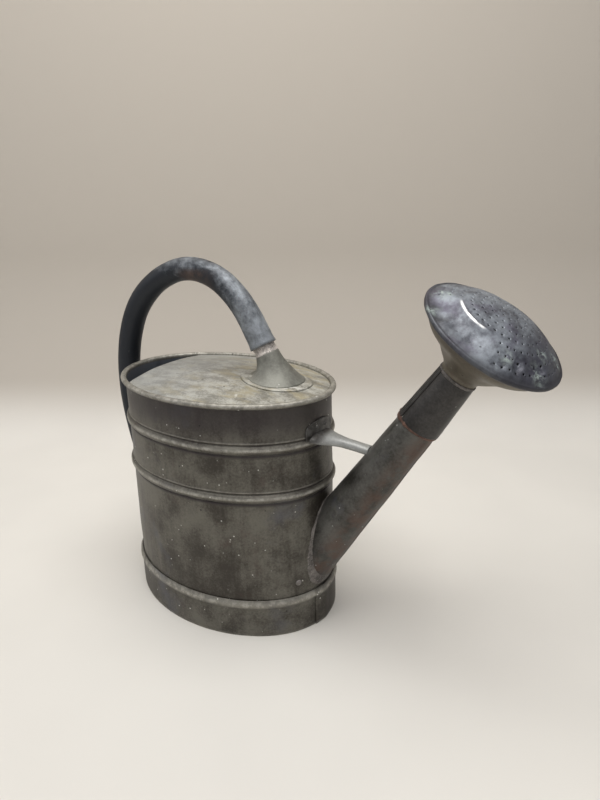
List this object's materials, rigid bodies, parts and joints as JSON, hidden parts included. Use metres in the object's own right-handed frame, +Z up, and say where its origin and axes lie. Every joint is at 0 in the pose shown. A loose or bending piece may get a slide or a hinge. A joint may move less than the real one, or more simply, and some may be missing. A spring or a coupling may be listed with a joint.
{
  "type": "watering can",
  "caption": "Oval sheet-metal garden watering can with a half deck, hooped tube handle, braced slanting spout and a large domed sprinkler rose that pulls off.",
  "frame": {"origin": "middle of the oval foot, on the ground", "axes": "+X towards the spout, along the oval's long way; +Z up; +Y across the can"},
  "size_m": [0.4995, 0.1878, 0.3992],
  "materials": {
    "body_zinc": "dull weathered zinc coat, dark olive grey with lime specks",
    "deck_zinc": "dull pale grey zinc coat with lime deposits",
    "handle_zinc": "dark blue-grey, hand polished",
    "socket_zinc": "mottled grey-green zinc coat",
    "spout_zinc": "dull weathered zinc coat with a brown underside",
    "strut_zinc": "light blue-grey zinc coat",
    "sleeve_zinc": "dark grey zinc coat",
    "cone_zinc": "olive-brown zinc coat",
    "rose_patina": "blue-violet grey patina with pale green deposits",
    "solder": "dull grey solder",
    "rust_ring": "reddish brown, rusted"
  },
  "bodies": {
    "can": {"body_wall": "body_zinc", "rim_wire": "body_zinc", "foot_band": "body_zinc", "bottom_plate": "body_zinc", "deck_plate": "deck_zinc", "socket_plate": "deck_zinc", "handle_tube": "handle_zinc", "handle_neck": "solder", "handle_socket": "socket_zinc", "spout_tube": "spout_zinc", "spout_solder": "solder", "spout_rivets": "solder", "spout_collar": "spout_zinc", "strut": "strut_zinc", "strut_rivets": "strut_zinc"},
    "rose": {"rose_sleeve": "sleeve_zinc", "rose_mouth_ring": "rust_ring", "rose_neck_ring": "solder", "rose_cone": "cone_zinc", "rose_face": "rose_patina"}
  },
  "joints": [
    {"name": "rose_pull", "type": "slide", "parent": "can", "child": "rose", "axis": [0.5314, 0, 0.8471], "range_m": [0, 0.07]}
  ]
}
